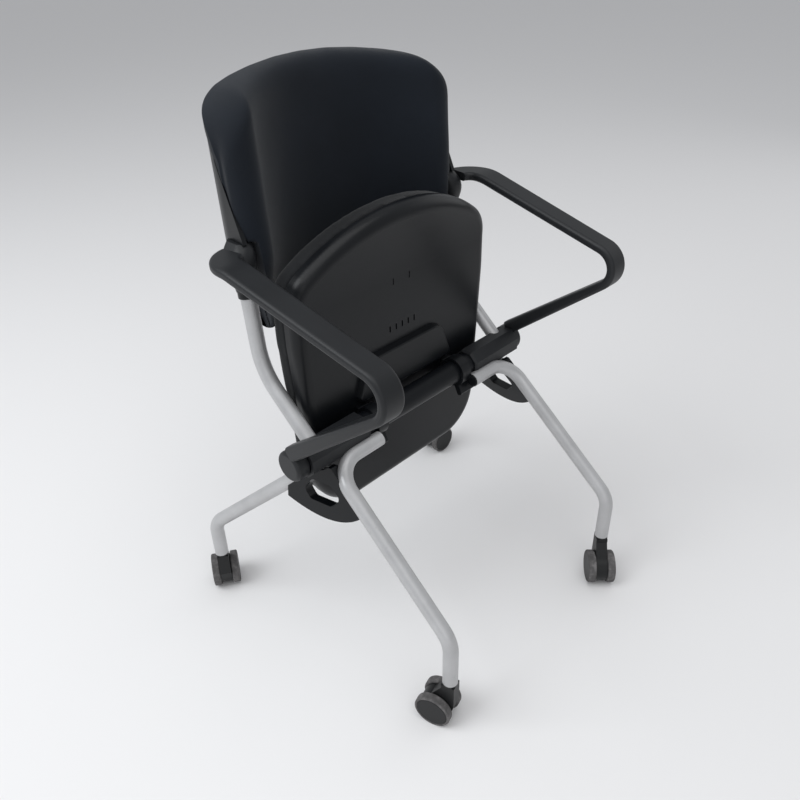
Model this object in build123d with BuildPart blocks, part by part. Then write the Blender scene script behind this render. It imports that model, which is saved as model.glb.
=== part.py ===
"""Nesting chair with arms, a flip-up seat and four twin-wheel casters.

Millimetres. +Z is up, the chair faces -Y and +X is the sitter's left. The origin is on the
floor, at the middle of the rectangle of the four caster stems. The seat is modelled flipped up,
as the chair is put away.
"""

from build123d import *
import os
from math import asin, cos, degrees, hypot, radians, sin

os.makedirs("parts", exist_ok=True)

# ---------------------------------------------------------------- frame tubes
tube_diameter = 24.0
tube_wall = 2.0
front_track = 432.0  # between the front caster stems
rear_track = 577.0  # between the rear caster stems, wider so that chairs nest
wheelbase = 489.0  # front stems to rear stems
leg_end_height = 91.0  # lower end of every leg tube above the floor
front_knee_height = 179.0
rear_knee_height = 163.0
front_shoulder_x = 212.0  # where the front leg turns in under the crossbar
rear_shoulder_x = 210.0
front_shoulder_radius = 46.0
knee_radius = 48.0
stub_inner_x = 115.0  # inner end of the front leg's level stub
stub_angle = 211.0  # where the stub lies round the crossbar, from +Y towards +Z
rear_leg_top_drop = 14.0  # rear leg's upper end below the crossbar's axis
rear_leg_top_back = -9.0  # and behind it

# ---------------------------------------------------------------- crossbar and sleeves
bar_y = 19.5
bar_z = 394.0
bar_diameter = 40.0
bar_wall = 2.5
bar_half_length = 249.0
sleeve_inner_x = 129.0
sleeve_across_flats = 50.0
sleeve_gap = 0.2
cut_clearance = 0.4  # round whatever passes through a moulding

# ---------------------------------------------------------------- uprights
upright_x = 222.0
upright_base_y = 16.0
upright_base_z = 399.0
upright_bend_y = 128.5
upright_bend_z = 496.5
upright_top_x = 217.5
upright_top_y = 152.0
upright_top_z = 688.0
upright_bend_radius = 100.0
collar_height = 10.0
collar_wall = 2.5

# ---------------------------------------------------------------- arms
blade_x = 266.0  # middle of the arm rest
blade_width = 43.0
blade_thickness = 14.5
blade_slope = 14.0
blade_straight = 242.0  # from the curl to the start of the rear sweep
blade_level_radius = 90.0  # the blade levels out before it turns in
rear_sweep_radius = 33.5
rear_sweep_angle = 80.0
curl_y = -143.5
curl_z = 588.0
curl_radius = 34.0  # to the middle of the blade
curl_x = 255.0
curl_width = 38.0
arm_edge_radius = 5.5
leg_share = 0.93  # how much of the way to the foot's centre the leg keeps its taper
leg_end_thickness = 25.0
arm_leg_slope = 38.0
foot_width = 22.0
foot_radius = 25.0
foot_y = 26.0
foot_z = 392.0
foot_gap = 0.5  # between the sleeve's end and the foot
spigot_length = 32.0
spigot_clearance = 0.1
knuckle_base_z = 623.0  # lower end of the socket on the upright
knuckle_top_z = 694.0
tongue_thickness = 5.0  # a tongue of the knuckle lies inside the back shell
tongue_inner_x = 202.5
tongue_bottom_z = 652.0
tongue_top_z = 680.0

# ---------------------------------------------------------------- back
back_half_width = 224.0
back_top_z = 900.0
back_shoulder_z = 866.0
back_corner_radius = 84.0
back_waist_z = 652.0  # the shell's sides end here, behind the arm knuckles
back_pocket_x = 170.0  # the knuckles stand in a pocket at each of the shell's sides,
back_pocket_y = 172.0  # which runs from the front back to here
back_bottom_z = 508.0
back_bottom_half_width = 158.0
back_centre_y = 227.0  # outer surface on the centre line, at the foot of the back
back_lean = 3.0
back_centre_radius = 700.0
back_flat_half_width = 180.0
shell_side_gap = 0.3
back_screw_angle = 70.0  # round the wing
back_screw_heights = (658.0, 674.0)
back_screw_length = 10.5
screw_seat_gap = 0.3
tongue_side_run = 20.0
back_wing_radius = 55.0
back_wing_angle = 85.0
shell_thickness = 7.0
pad_thickness = 24.0
pad_gap = 0.5
pad_edge_thickness = 10.0
pad_flat_half_width = 140.0
pad_side_run = 22.0
wrap_inset = 1.0  # of the pad where it wraps round above the shell's side edge
shell_side_run = 56.0
side_edge_base_y = 99.0  # the shell's slanted side edge, from the arm up to the shoulder
side_edge_bend_y = 176.0
side_edge_bend_z = 800.0
side_edge_top_y = 196.0
side_edge_bend_radius = 60.0
pad_edge_inset = 4.0
pad_waist_half_width = 201.0

# ---------------------------------------------------------------- seat, flipped up
seat_half_width = 212.0
seat_rear_half_width = 190.0
seat_top_z = 717.0
seat_bottom_z = 229.0
seat_widest_z = 548.0
seat_front_arc_radius = 325.0
seat_front_corner_radius = 56.0
seat_rear_corner_radius = 84.0
seat_waist_radius = 260.0
seat_parting_y = 76.0  # between the shell and the cushion
seat_shell_depth = 28.0
seat_shell_wall = 3.5
seat_shell_round = 17.0
seat_board_thickness = 6.0
seat_lip_start_z = 600.0
seat_lip_radius = 300.0
cushion_thickness = 34.0
cushion_round = 13.0
layer_gap = 0.3

slot_count = 5
slot_pitch = 14.0
slot_width = 3.0
slot_length = 11.0
slot_z = 516.0
dimple_x = 18.0
dimple_z = 595.0
dimple_depth = 1.0

cover_bottom_z = 417.0
cover_top_z = 489.0
cover_bottom_half_width = 114.0
cover_top_half_width = 86.0
cover_height = 11.0
cover_corner_radius = 28.0

# ---------------------------------------------------------------- seat hinge
hinge_inner_x = 92.0
hinge_outer_x = 113.0
hinge_wall = 6.0
hinge_clearance = 0.08
hinge_foot_drop = 44.0
hinge_foot_margin = 9.0
hinge_tail_length = 22.0
hinge_tail_thickness = 10.0
hinge_tail_reach = 13.0  # sideways, to lie behind the stub
seat_travel = 87.0
stop_pin_radius = 3.0
stop_pin_height = 3.0
stop_pin_gap = 0.4

# ---------------------------------------------------------------- nesting plates
plate_thickness = 16.0

# ---------------------------------------------------------------- casters
wheel_diameter = 60.0
wheel_width = 13.5
tread_depth = 4.0
hood_width = 20.0
wheel_gap = 0.6
hood_radius = 26.0
caster_trail = 20.0
stem_diameter = 11.0
stem_length = 38.0
axle_diameter = 6.0
socket_flange = 3.0
running_clearance = 0.05
hood_top_gap = 0.5
caster_headings = {  # where the wheels trail, from +X towards +Y
    "front_left": 222.0,
    "front_right": 105.0,
    "rear_left": 0.0,
    "rear_right": 58.0,
}

screw_diameter = 5.0
screw_head_diameter = 9.5
screw_head_height = 3.0

# ---------------------------------------------------------------- worked-out values
tube_radius = tube_diameter / 2
tube_bore = tube_radius - tube_wall
bar_radius = bar_diameter / 2
bar_bore = bar_radius - bar_wall
sleeve_clear_radius = sleeve_across_flats / 2 / cos(radians(22.5)) + cut_clearance
stub_distance = bar_radius + tube_radius
stub_y = bar_y + stub_distance * cos(radians(stub_angle))
stub_z = bar_z + stub_distance * sin(radians(stub_angle))
front_stem = (front_track / 2, -wheelbase / 2)
rear_stem = (rear_track / 2, wheelbase / 2)
screw_radius = screw_diameter / 2
screw_head_radius = screw_head_diameter / 2


def save(part, name):
    """Labels a finished piece and writes it."""
    part.label = name
    export_step(part, f"parts/{name}.step")


def save_pair(part, name):
    """The +X piece is the sitter's left one; its mirror image is the right one."""
    save(part, f"{name}_left")
    save(mirror(part, about=Plane.YZ), f"{name}_right")


def both_sides(part):
    """One group of solids: the piece and its mirror image."""
    return Compound(children=[*part.solids(), *mirror(part, about=Plane.YZ).solids()])


def route(points, radius):
    """A bent tube's centre line: straight runs joined by tangent arcs."""
    with BuildLine() as line:
        FilletPolyline(*points, radius=radius)
    return line.line


def rod(line, radius):
    """A solid round bar along a centre line, also used to cut what a tube passes through."""
    with BuildPart() as piece:
        with BuildSketch(Plane(origin=line @ 0, z_dir=line % 0)):
            Circle(radius)
        sweep(path=line)
    return piece.part


def tube(line):
    """A frame tube along a centre line."""
    with BuildPart() as piece:
        add(rod(line, tube_radius))
        add(rod(line, tube_bore), mode=Mode.SUBTRACT)
    return piece.part


def cylinder(plane, radius, height):
    """A round bar that starts on a plane and runs along its normal."""
    with BuildPart() as piece:
        with BuildSketch(plane):
            Circle(radius)
        extrude(amount=height)
    return piece.part


def screw(plane, length):
    """A pan-head screw: the plane is under the head and its normal runs down the shank."""
    with BuildPart() as piece:
        with BuildSketch(plane):
            Circle(screw_radius)
        extrude(amount=length)
        with BuildSketch(plane):
            Circle(screw_head_radius)
        extrude(amount=-screw_head_height)
        head = piece.faces().sort_by(Axis(plane.origin, plane.z_dir))[0]
        fillet(head.edges(), screw_head_height * 0.6)
    return piece.part


# ================================================================ frame
bar_plane = Plane(origin=(0, bar_y, bar_z), x_dir=(0, 1, 0), z_dir=(1, 0, 0))
bar_end_plane = bar_plane.offset(-bar_half_length)

front_leg_line = route(
    [
        (stub_inner_x, stub_y, stub_z),
        (front_shoulder_x, stub_y, stub_z),
        (*front_stem, front_knee_height),
        (*front_stem, leg_end_height),
    ],
    [front_shoulder_radius, knee_radius],
)
rear_leg_line = route(
    [
        (rear_shoulder_x, bar_y + rear_leg_top_back, bar_z - rear_leg_top_drop),
        (*rear_stem, rear_knee_height),
        (*rear_stem, leg_end_height),
    ],
    knee_radius,
)
upright_line = route(
    [
        (upright_x, upright_base_y, upright_base_z),
        (upright_x, upright_bend_y, upright_bend_z),
        (upright_top_x, upright_top_y, upright_top_z),
    ],
    upright_bend_radius,
)


def upright_point(height):
    """A point on the upright's steep upper run."""
    share = (height - upright_bend_z) / (upright_top_z - upright_bend_z)
    return Vector(
        upright_x + (upright_top_x - upright_x) * share,
        upright_bend_y + (upright_top_y - upright_bend_y) * share,
        height,
    )


bar_envelope = cylinder(bar_end_plane, bar_radius, 2 * bar_half_length)

stop_pin_x = (hinge_inner_x + hinge_outer_x) / 2
foot_screw_x = bar_half_length - spigot_length / 2
foot_screw_plane = Plane(
    origin=(foot_screw_x, bar_y, bar_z - sleeve_across_flats / 2), x_dir=(1, 0, 0), z_dir=(0, 0, 1)
)
foot_screw_length = sleeve_across_flats / 2 - 6

with BuildPart() as crossbar:
    with BuildSketch(bar_end_plane):
        Circle(bar_radius)
        Circle(bar_bore, mode=Mode.SUBTRACT)
    extrude(amount=2 * bar_half_length)
    with BuildSketch(Plane.XY.offset(bar_z)):
        with Locations((stop_pin_x, bar_y), (-stop_pin_x, bar_y)):
            Circle(stop_pin_radius)
    extrude(amount=bar_radius, mode=Mode.SUBTRACT)
    with BuildSketch(Plane.XY.offset(bar_z)):
        with Locations((foot_screw_x, bar_y), (-foot_screw_x, bar_y)):
            Circle(screw_radius + cut_clearance / 2)
    extrude(amount=-bar_radius, mode=Mode.SUBTRACT)
save(crossbar.part, "crossbar")

with BuildPart() as stop_pins:
    with BuildSketch(Plane.XY.offset(bar_z + bar_bore)):
        with Locations((stop_pin_x, bar_y), (-stop_pin_x, bar_y)):
            Circle(stop_pin_radius)
    extrude(amount=bar_wall + stop_pin_height)
save(stop_pins.part, "hinge_stop_pins")

save_pair(tube(front_leg_line), "front_leg")


def coped(line):
    """A tube whose upper end is shaped to sit on the crossbar."""
    with BuildPart() as piece:
        add(tube(line))
        add(bar_envelope, mode=Mode.SUBTRACT)
    return piece.part.solids().sort_by(SortBy.VOLUME)[-1]


save_pair(coped(rear_leg_line), "rear_leg")
save_pair(coped(upright_line), "upright")

with BuildPart() as leg_end_plug:
    with BuildSketch(Plane.YZ.offset(stub_inner_x)):
        with Locations((stub_y, stub_z)):
            Circle(tube_radius - 0.5)
    extrude(amount=-2)
    fillet(leg_end_plug.faces().sort_by(Axis.X)[0].edges(), 1.5)
    with BuildSketch(Plane.YZ.offset(stub_inner_x)):
        with Locations((stub_y, stub_z)):
            Circle(tube_bore - running_clearance)
    extrude(amount=14)
save(both_sides(leg_end_plug.part), "leg_end_plugs")

# ---- moulded sleeves over the ends of the crossbar, open where the tubes leave it
with BuildPart() as sleeve:
    with BuildSketch(bar_plane.offset(sleeve_inner_x)):
        RegularPolygon(sleeve_across_flats / 2, 8, major_radius=False, rotation=22.5)
    extrude(amount=bar_half_length - sleeve_inner_x)
    chamfer(sleeve.faces().sort_by(Axis.X)[0].edges(), 3)
    with BuildSketch(bar_plane.offset(sleeve_inner_x)):
        Circle(bar_radius + sleeve_gap)
    extrude(amount=bar_half_length - sleeve_inner_x, mode=Mode.SUBTRACT)
    for line in (front_leg_line, rear_leg_line, upright_line):
        add(rod(line, tube_radius + cut_clearance), mode=Mode.SUBTRACT)
    with BuildSketch(foot_screw_plane):
        Circle(screw_radius + cut_clearance / 2)
    extrude(amount=foot_screw_length, mode=Mode.SUBTRACT)
sleeve_solid = sleeve.part.solids().sort_by(SortBy.VOLUME)[-1]
save_pair(sleeve_solid, "crossbar_sleeve")
save(both_sides(screw(foot_screw_plane, foot_screw_length)), "arm_foot_screws")

# ================================================================ nesting plates
shoulder = Vector(front_shoulder_x, stub_y, stub_z)
front_knee = Vector(*front_stem, front_knee_height)
rear_knee = Vector(*rear_stem, rear_knee_height)
leg_normal = (front_knee - shoulder).cross(rear_knee - shoulder).normalized()
if leg_normal.X < 0:
    leg_normal = leg_normal * -1
leg_plane = Plane(origin=shoulder, x_dir=(rear_knee - front_knee), z_dir=leg_normal)


def on_leg_plane(y, z):
    """The point of the legs' plane that has this Y and Z, in the plane's own axes."""
    x = shoulder.X - (leg_normal.Y * (y - shoulder.Y) + leg_normal.Z * (z - shoulder.Z)) / leg_normal.X
    point = leg_plane.to_local_coords(Vector(x, y, z))
    return (point.X, point.Y)


def plate_half(start, thickness):
    """One moulding of a nesting plate: it fills the web between the legs, round an opening."""
    with BuildPart() as piece:
        with BuildSketch(leg_plane.offset(start)) as web:
            with BuildLine():
                Polyline(
                    on_leg_plane(-70, 325),
                    on_leg_plane(-8, 377),
                    on_leg_plane(14, 374),
                    on_leg_plane(74, 320),
                    on_leg_plane(72, 297),
                )
                Spline(
                    on_leg_plane(72, 297),
                    on_leg_plane(12, 288.5),
                    on_leg_plane(-38, 296),
                    on_leg_plane(-70, 316),
                )
                Line(on_leg_plane(-70, 316), on_leg_plane(-70, 325))
            make_face()
            with BuildSketch(mode=Mode.PRIVATE) as opening:
                with BuildLine():
                    Polyline(
                        on_leg_plane(-32, 331),
                        on_leg_plane(-14, 313),
                        on_leg_plane(26, 311),
                        on_leg_plane(40, 325),
                        on_leg_plane(26, 346),
                        on_leg_plane(-10, 348),
                        close=True,
                    )
                make_face()
                fillet(opening.vertices(), 9)
            add(opening.sketch, mode=Mode.SUBTRACT)
        extrude(amount=thickness)
        for line in (front_leg_line, rear_leg_line):
            add(rod(line, tube_radius + 0.1), mode=Mode.SUBTRACT)
        add(cylinder(bar_end_plane, sleeve_clear_radius, 2 * bar_half_length), mode=Mode.SUBTRACT)
    return piece.part.solids().sort_by(SortBy.VOLUME)[-1]


save_pair(plate_half(0.05, plate_thickness / 2), "nesting_plate_outer")
save_pair(plate_half(-0.05 - plate_thickness / 2, plate_thickness / 2), "nesting_plate_inner")

# ================================================================ arms


def arm_section(x, y, z, fall, width, thickness):
    """A cross-section of the arm, square to a run that falls towards the front at an angle."""
    run = Vector(0, -cos(radians(fall)), -sin(radians(fall)))
    with BuildSketch(Plane(origin=(x, y, z), x_dir=(1, 0, 0), z_dir=run)) as section:
        RectangleRounded(width, thickness, arm_edge_radius)
    return section.sketch


# the blade meets the curl at its top, and the curl hands over to the leg at its lower end
curl_top_y = curl_y - curl_radius * sin(radians(blade_slope))
curl_top_z = curl_z + curl_radius * cos(radians(blade_slope))
curl_end_y = curl_y - curl_radius * sin(radians(arm_leg_slope))
curl_end_z = curl_z - curl_radius * cos(radians(arm_leg_slope))
curl_turn = 180 - blade_slope - arm_leg_slope
blade_rear_y = curl_top_y + blade_straight * cos(radians(blade_slope))
blade_rear_z = curl_top_z + blade_straight * sin(radians(blade_slope))
foot_x = bar_half_length + foot_gap + foot_width / 2
leg_length = hypot(foot_y - curl_end_y, foot_z - curl_end_z)

curl_top = arm_section(curl_x, curl_top_y, curl_top_z, blade_slope, curl_width, blade_thickness)
curl_end = arm_section(curl_x, curl_end_y, curl_end_z, 180 - arm_leg_slope, curl_width, blade_thickness)
blade_rear = arm_section(blade_x, blade_rear_y, blade_rear_z, blade_slope, blade_width, blade_thickness)
level_centre_y = blade_rear_y + blade_level_radius * sin(radians(blade_slope))
level_centre_z = blade_rear_z - blade_level_radius * cos(radians(blade_slope))
blade_level = arm_section(
    blade_x, level_centre_y, level_centre_z + blade_level_radius, 0, blade_width, blade_thickness
)
leg_end = arm_section(
    foot_x,
    curl_end_y + leg_length * cos(radians(arm_leg_slope)) * leg_share,
    curl_end_z - leg_length * sin(radians(arm_leg_slope)) * leg_share,
    180 - arm_leg_slope,
    foot_width,
    leg_end_thickness,
)

with BuildPart() as foot:
    with BuildSketch(Plane.YZ.offset(bar_half_length + foot_gap)):
        with Locations((foot_y, foot_z)):
            Circle(foot_radius)
    extrude(amount=foot_width)
    fillet(foot.faces().sort_by(Axis.X)[-1].edges(), 6)
    fillet(foot.faces().sort_by(Axis.X)[0].edges(), 1)
    with BuildSketch(bar_plane.offset(bar_half_length + foot_gap + 4)):
        Circle(bar_bore - spigot_clearance)
    extrude(amount=-spigot_length - 4)
    with BuildSketch(foot_screw_plane):
        Circle(screw_radius)
    extrude(amount=foot_screw_length, mode=Mode.SUBTRACT)

with BuildPart() as arm:
    loft([blade_rear, curl_top], ruled=True)
    add(curl_top)
    revolve(axis=Axis((0, curl_y, curl_z), (1, 0, 0)), revolution_arc=curl_turn)
    loft([curl_end, leg_end], ruled=True)
    add(cylinder(bar_end_plane, sleeve_clear_radius, 2 * bar_half_length + foot_gap), mode=Mode.SUBTRACT)
    add(blade_rear)
    revolve(axis=Axis((0, level_centre_y, level_centre_z), (-1, 0, 0)), revolution_arc=blade_slope)
    add(blade_level)
    rear_sweep_axis = Axis((blade_x - rear_sweep_radius, level_centre_y, 0), (0, 0, 1))
    revolve(axis=rear_sweep_axis, revolution_arc=rear_sweep_angle)
    add(foot.part)
    # the knuckle: a socket for the upright that swells out and ends flush under the back's side
    knuckle_sections = []
    for share, out, back, width, depth, rounding in (
        (0.00, 0.0, 0.0, 31.0, 31.0, 15.4),
        (0.15, 1.5, 0.0, 33.5, 34.0, 16.0),
        (0.38, 4.5, -1.0, 40.0, 44.0, 18.0),
        (0.70, 4.5, -3.0, 39.0, 50.0, 17.0),
        (1.00, -2.0, 0.0, 24.0, 36.0, 10.0),
    ):
        height = knuckle_base_z + share * (knuckle_top_z - knuckle_base_z)
        centre = upright_point(height) + Vector(out, back)
        with BuildSketch(Plane.XY.offset(height)) as section:
            with Locations((centre.X, centre.Y)):
                RectangleRounded(width, depth, rounding)
        knuckle_sections.append(section.sketch)
    loft(knuckle_sections)

# ================================================================ back
back_plane = Plane(
    origin=(0, back_centre_y, back_bottom_z),
    x_dir=(1, 0, 0),
    z_dir=(0, sin(radians(back_lean)), cos(radians(back_lean))),
)
back_height = back_top_z - back_bottom_z + 20
flat_angle = degrees(asin(back_flat_half_width / back_centre_radius))
wing_centre_x = (back_centre_radius - back_wing_radius) * sin(radians(flat_angle))
wing_centre_y = (back_centre_radius - back_wing_radius) * cos(radians(flat_angle)) - back_centre_radius


def back_curve(offset_in, side_run):
    """Half a plan section of the back, offset towards the sitter: a flat arc, a tight wing and
    a straight run forward along the side."""
    flat_radius = back_centre_radius - offset_in
    wing_radius = back_wing_radius - offset_in

    def on_flat(angle):
        return (flat_radius * sin(radians(angle)), flat_radius * cos(radians(angle)) - back_centre_radius)

    def on_wing(angle, run=0):
        return (
            wing_centre_x + wing_radius * sin(radians(angle)) + run * cos(radians(angle)),
            wing_centre_y + wing_radius * cos(radians(angle)) - run * sin(radians(angle)),
        )

    middle = (flat_angle + back_wing_angle) / 2
    return (
        on_flat(0),
        on_flat(flat_angle / 2),
        on_flat(flat_angle),
        on_wing(middle),
        on_wing(back_wing_angle),
        on_wing(back_wing_angle, side_run),
    )


def back_slab(outer_offset, inner_offset, side_run):
    """The back's bent sheet between two offsets, before it is trimmed to its outline."""
    outer = back_curve(outer_offset, side_run)
    inner = back_curve(inner_offset, side_run)
    with BuildPart() as slab:
        with BuildSketch(back_plane):
            with BuildLine():
                ThreePointArc(outer[0], outer[1], outer[2])
                ThreePointArc(outer[2], outer[3], outer[4])
                Polyline(outer[4], outer[5], inner[5], inner[4])
                ThreePointArc(inner[4], inner[3], inner[2])
                ThreePointArc(inner[2], inner[1], inner[0])
                mirror(about=Plane.YZ)
            make_face()
        extrude(amount=back_height)
    return slab.part


def pad_slab():
    """The pad before trimming: it lies in the shell, and its front is a shallow arc that turns
    forward over the wings to a thin rolled edge."""
    outer = back_curve(shell_thickness + pad_gap, pad_side_run)
    edge = back_curve(shell_thickness + pad_gap + pad_edge_thickness, pad_side_run)[5]
    front_radius = back_centre_radius - shell_thickness - pad_gap - pad_thickness
    front_angle = degrees(asin(pad_flat_half_width / front_radius))

    def on_front(angle):
        return (front_radius * sin(radians(angle)), front_radius * cos(radians(angle)) - back_centre_radius)

    with BuildPart() as slab:
        with BuildSketch(back_plane) as section:
            with BuildLine():
                ThreePointArc(outer[0], outer[1], outer[2])
                ThreePointArc(outer[2], outer[3], outer[4])
                Polyline(outer[4], outer[5], edge)
                heading = (cos(radians(front_angle)), -sin(radians(front_angle)))
                TangentArc(on_front(front_angle), edge, tangent=heading)
                ThreePointArc(on_front(front_angle), on_front(front_angle / 2), on_front(0))
                mirror(about=Plane.YZ)
            make_face()
            front_edge = section.vertices().group_by(Axis.Y)[:2]
            fillet([vertex for group in front_edge for vertex in group], pad_edge_thickness * 0.45)
        extrude(amount=back_height)
    return slab.part


def side_cut(gap):
    """What lies forward of the shell's slanted side edge, moved forward by a gap."""
    with BuildPart() as prism:
        with BuildSketch(Plane.YZ.offset(-back_half_width - 5)) as side_view:
            with BuildLine():
                Polyline(
                    (side_edge_base_y - gap, back_waist_z - 30),
                    (side_edge_bend_y - gap, side_edge_bend_z),
                    (side_edge_top_y - gap, back_top_z + 20),
                    (0, back_top_z + 20),
                    (0, back_waist_z - 30),
                    close=True,
                )
            make_face()
            bend = side_view.vertices().sort_by_distance((side_edge_bend_y - gap, side_edge_bend_z))[0]
            fillet(bend, side_edge_bend_radius)
        extrude(amount=2 * back_half_width + 10)
    return prism.part


def back_outline(inset, waist_half_width, waist_z):
    """The back seen from the front, extruded through its depth."""
    side = back_half_width - inset
    with BuildPart() as prism:
        with BuildSketch(Plane.XZ.offset(-back_centre_y - 60)) as face:
            with BuildLine():
                ThreePointArc(
                    (-side, back_shoulder_z - inset), (0, back_top_z - inset), (side, back_shoulder_z - inset)
                )
                Polyline(
                    (side, back_shoulder_z - inset),
                    (side, waist_z + inset * 8),
                    (waist_half_width, waist_z),
                    (back_bottom_half_width - inset, back_bottom_z + inset),
                    (-back_bottom_half_width + inset, back_bottom_z + inset),
                    (-waist_half_width, waist_z),
                    (-side, waist_z + inset * 8),
                    (-side, back_shoulder_z - inset),
                )
            make_face()
            corners = face.vertices().group_by(Axis.Y)
            fillet(corners[-1], back_corner_radius - inset)
            fillet(face.vertices().group_by(Axis.Y)[0], 40)
        extrude(amount=back_centre_y + 60)
    return prism.part


tongue_outer = shell_thickness + shell_side_gap
tongue_inner = tongue_outer + tongue_thickness


def back_screw_plane(height):
    """Where a screw's head seats on the knuckle's tongue; the shank runs out into the shell."""
    radius = back_wing_radius - tongue_inner - screw_seat_gap
    out = (sin(radians(back_screw_angle)), cos(radians(back_screw_angle)))
    up = (height - back_bottom_z) / cos(radians(back_lean))
    seat = (wing_centre_x + radius * out[0], wing_centre_y + radius * out[1], up)
    origin = back_plane.from_local_coords(seat)
    ahead = back_plane.from_local_coords((seat[0] + out[0], seat[1] + out[1], up))
    return Plane(origin=origin, z_dir=ahead - origin)


back_screw_planes = [back_screw_plane(height) for height in back_screw_heights]


def knuckle_room(inner_x, depth):
    """The room for both knuckles: outside inner_x, up to their tops and back to the given depth."""
    outer_x = back_half_width + 10
    with BuildPart() as room:
        with BuildSketch(Plane.XY.offset(knuckle_top_z + shell_side_gap)):
            for side in (1, -1):
                with Locations((side * (inner_x + outer_x) / 2, depth / 2)):
                    Rectangle(outer_x - inner_x, depth)
        extrude(amount=back_bottom_z - knuckle_top_z)
    return room.part


with BuildPart() as back_shell:
    add(back_slab(0, shell_thickness, shell_side_run))
    add(back_outline(0, back_half_width - 14, back_waist_z), mode=Mode.INTERSECT)
    add(side_cut(0), mode=Mode.SUBTRACT)
    add(knuckle_room(back_pocket_x, back_pocket_y + shell_side_gap), mode=Mode.SUBTRACT)
    for plane in back_screw_planes:
        hole = cylinder(plane, screw_radius, back_screw_length)
        add([hole, mirror(hole, about=Plane.YZ)], mode=Mode.SUBTRACT)
save(back_shell.part, "back_shell")

with BuildPart() as back_pad:
    add(back_slab(wrap_inset, shell_thickness + pad_gap, pad_side_run))
    add(side_cut(pad_gap), mode=Mode.INTERSECT)
    add(pad_slab())
    add(back_outline(pad_edge_inset, pad_waist_half_width, back_waist_z + 30), mode=Mode.INTERSECT)
    add(knuckle_room(tongue_inner_x - shell_side_gap, back_centre_y), mode=Mode.SUBTRACT)
save(back_pad.part, "back_pad")

# the arm's knuckle seats against the back shell, with a tongue inside it for the screws
with BuildPart() as tongue:
    add(back_slab(tongue_outer, tongue_inner, tongue_side_run))
    with BuildSketch(Plane.XY.offset(tongue_bottom_z)):
        with Locations((tongue_inner_x, 0)):
            Rectangle(back_wing_radius, 2 * back_centre_y, align=(Align.MIN, Align.CENTER))
    extrude(amount=tongue_top_z - tongue_bottom_z, mode=Mode.INTERSECT)

with BuildPart() as shell_beside_knuckle:
    add(back_slab(-shell_side_gap, tongue_outer, shell_side_run))
    add(knuckle_room(back_pocket_x, back_pocket_y), mode=Mode.SUBTRACT)

with BuildPart() as arm_fitted:
    add(arm.part)
    add(shell_beside_knuckle.part, mode=Mode.SUBTRACT)
    add(tongue.part)
    add(rod(upright_line, tube_radius + running_clearance), mode=Mode.SUBTRACT)
    for plane in back_screw_planes:
        add(cylinder(plane, screw_radius + cut_clearance / 2, back_screw_length), mode=Mode.SUBTRACT)
        add(cylinder(plane, screw_head_radius + cut_clearance, -screw_head_height - 6), mode=Mode.SUBTRACT)
arm_solid = arm_fitted.part.solids().sort_by(SortBy.VOLUME)[-1]
save_pair(arm_solid, "arm")

back_screws = []
for plane in back_screw_planes:
    piece = screw(plane, back_screw_length)
    back_screws += [*piece.solids(), *mirror(piece, about=Plane.YZ).solids()]
save(Compound(children=back_screws), "arm_back_screws")

# ---- a ring under each knuckle, where the upright enters it
collar_start = upright_point(knuckle_base_z - collar_height)
collar_run = upright_point(knuckle_base_z) - collar_start
with BuildPart() as collar:
    with BuildSketch(Plane(origin=collar_start, z_dir=collar_run)):
        Circle(tube_radius + collar_wall)
        Circle(tube_radius + running_clearance, mode=Mode.SUBTRACT)
    extrude(amount=collar_run.length + collar_height)
    split(bisect_by=Plane.XY.offset(knuckle_base_z - 0.5), keep=Keep.BOTTOM)
save(both_sides(collar.part), "upright_collars")

# ================================================================ seat


def seat_outline(inset, depth_from, depth_to):
    """The seat seen square on, extruded between two depths."""
    side = seat_half_width - inset
    rear = seat_rear_half_width - inset
    top = seat_top_z - inset
    shoulder_z = top - (seat_front_arc_radius - (seat_front_arc_radius**2 - side**2) ** 0.5)
    with BuildPart() as prism:
        with BuildSketch(Plane.XZ.offset(-depth_from)) as face:
            with BuildLine():
                ThreePointArc((-side, shoulder_z), (0, top), (side, shoulder_z))
                Polyline(
                    (side, shoulder_z),
                    (side, seat_widest_z),
                    (rear, seat_bottom_z + inset),
                    (-rear, seat_bottom_z + inset),
                    (-side, seat_widest_z),
                    (-side, shoulder_z),
                )
            make_face()
            fillet(face.vertices().group_by(Axis.Y)[-1], seat_front_corner_radius - inset / 2)
            fillet(face.vertices().group_by(Axis.Y)[0], seat_rear_corner_radius - inset / 2)
            waist = face.vertices().filter_by(lambda v: abs(v.Y - seat_widest_z) < 0.01)
            fillet(waist, seat_waist_radius)
        extrude(amount=-(depth_to - depth_from))
    return prism.part


def seat_layer(low, high):
    """The seat's side profile between two offsets of its parting line, with the lip rolled over."""
    lip_angle = degrees(asin((seat_top_z + 8 - seat_lip_start_z) / (seat_lip_radius - 2 * seat_shell_depth)))
    centre_y = seat_parting_y - seat_lip_radius

    def on_lip(offset_out, angle):
        radius = seat_lip_radius + offset_out
        return (centre_y + radius * cos(radians(angle)), seat_lip_start_z + radius * sin(radians(angle)))

    start_z = seat_bottom_z - 10
    with BuildPart() as layer:
        with BuildSketch(Plane.YZ.offset(-seat_half_width - 5)):
            with BuildLine():
                Line((seat_parting_y + low, start_z), on_lip(low, 0))
                ThreePointArc(on_lip(low, 0), on_lip(low, lip_angle / 2), on_lip(low, lip_angle))
                Line(on_lip(low, lip_angle), on_lip(high, lip_angle))
                ThreePointArc(on_lip(high, lip_angle), on_lip(high, lip_angle / 2), on_lip(high, 0))
                Line(on_lip(high, 0), (seat_parting_y + high, start_z))
                Line((seat_parting_y + high, start_z), (seat_parting_y + low, start_z))
            make_face()
        extrude(amount=2 * seat_half_width + 10)
    return layer.part


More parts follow.
